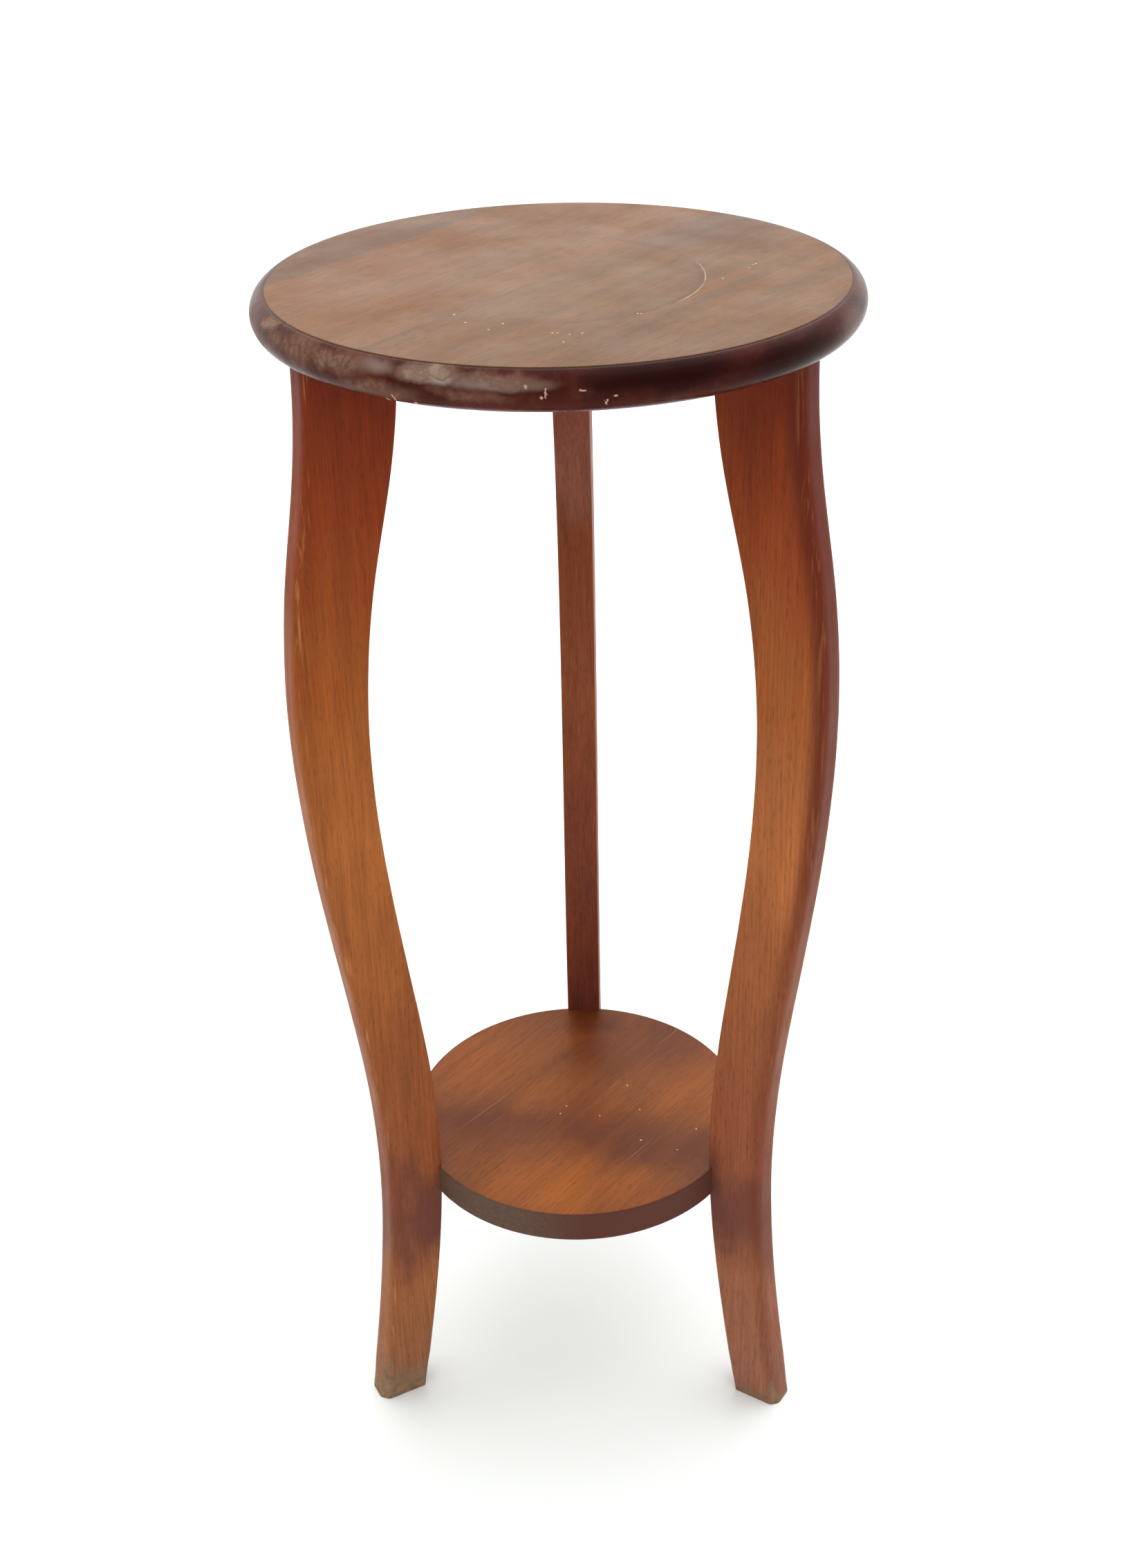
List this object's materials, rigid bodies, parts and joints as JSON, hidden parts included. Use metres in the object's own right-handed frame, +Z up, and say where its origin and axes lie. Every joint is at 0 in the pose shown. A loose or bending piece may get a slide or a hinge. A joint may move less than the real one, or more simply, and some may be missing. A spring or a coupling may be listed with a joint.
{
  "type": "pedestal plant stand",
  "caption": "Tall round-topped pedestal stand on sabre-curved plank legs, with a small round shelf let into the legs near the floor.",
  "frame": {"origin": "on the floor, below the centre of the round top, where the axis of the round top meets the floor", "axes": "+Z up along the axis of the round top; +Y towards the back leg; the other two legs stand 120 degrees either side of it"},
  "size_m": [0.334, 0.3424, 0.76],
  "materials": {
    "top_wood": "satin varnish over red-brown stain",
    "shelf_wood": "satin varnish over orange-brown stain",
    "leg_wood": "satin varnish over orange-brown stain",
    "dowel_wood": "bare beech"
  },
  "bodies": {
    "root": {"top_board_1": "top_wood", "top_board_2": "top_wood", "top_board_3": "top_wood", "shelf_board_1": "shelf_wood", "shelf_board_2": "shelf_wood", "back_leg": "leg_wood", "left_leg": "leg_wood", "right_leg": "leg_wood", "back_inner_top_dowel": "dowel_wood", "back_outer_top_dowel": "dowel_wood", "left_inner_top_dowel": "dowel_wood", "left_outer_top_dowel": "dowel_wood", "right_inner_top_dowel": "dowel_wood", "right_outer_top_dowel": "dowel_wood", "back_shelf_dowel": "dowel_wood", "left_shelf_dowel": "dowel_wood", "right_shelf_dowel": "dowel_wood"}
  },
  "joints": []
}
